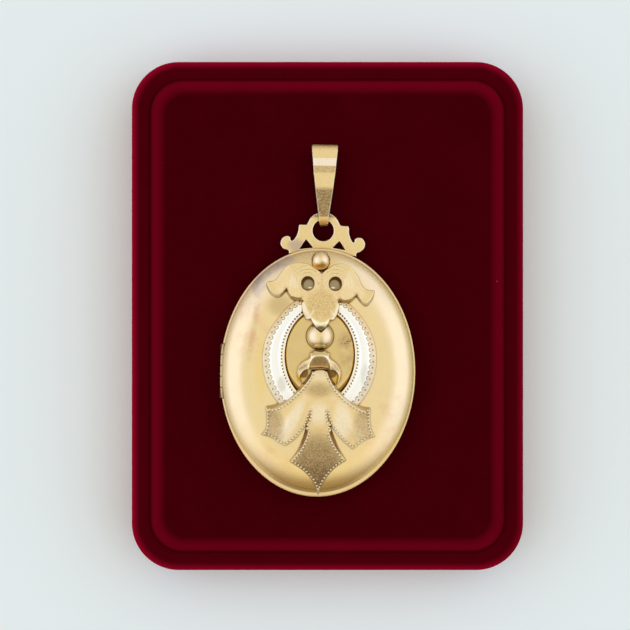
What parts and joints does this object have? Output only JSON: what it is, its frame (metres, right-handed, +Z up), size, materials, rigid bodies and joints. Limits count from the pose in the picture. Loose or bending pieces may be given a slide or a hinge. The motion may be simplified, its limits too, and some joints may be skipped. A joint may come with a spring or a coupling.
{
  "type": "locket pendant on a velvet display pad",
  "caption": "Oval opening locket with an applied winged crest, oval ring and drapery fan, a pierced cresting and a tapered bail, lying on a velvet pad.",
  "frame": {"origin": "middle of the display pad's underside", "axes": "+Z up out of the pad, +Y towards the bail, +X to the right of the locket as seen from above"},
  "size_m": [0.07, 0.09, 0.0222],
  "materials": {
    "velvet": "deep red flocked velvet",
    "case_gold": "softly polished pale yellow gold, lightly scratched and stained",
    "matte_gold": "sandblasted yellow gold with polished edges",
    "white_gold": "polished pale rose-white gold with a punched border"
  },
  "bodies": {
    "pad_and_back": {"velvet_pad": "velvet", "back_shell": "case_gold", "scroll_plate": "matte_gold", "hinge_pin": "case_gold"},
    "lid": {"front_shell": "case_gold", "white_ring": "white_gold", "crest": "matte_gold", "top_ball": "case_gold", "mid_ball": "case_gold", "bell_cap": "matte_gold", "fan": "matte_gold"},
    "bail": {"bail": "matte_gold"}
  },
  "joints": [
    {"name": "lid_hinge", "type": "hinge", "parent": "pad_and_back", "child": "lid", "pos_m": [-0.01843, -0.00961, 0.01576], "axis": [-0.0175, -0.9998, 0], "range_deg": [0, 115]},
    {"name": "bail_swing", "type": "hinge", "parent": "pad_and_back", "child": "bail", "pos_m": [-0.00068, 0.01733, 0.01491], "axis": [0.9998, -0.0175, 0], "range_deg": [0, 125]}
  ]
}
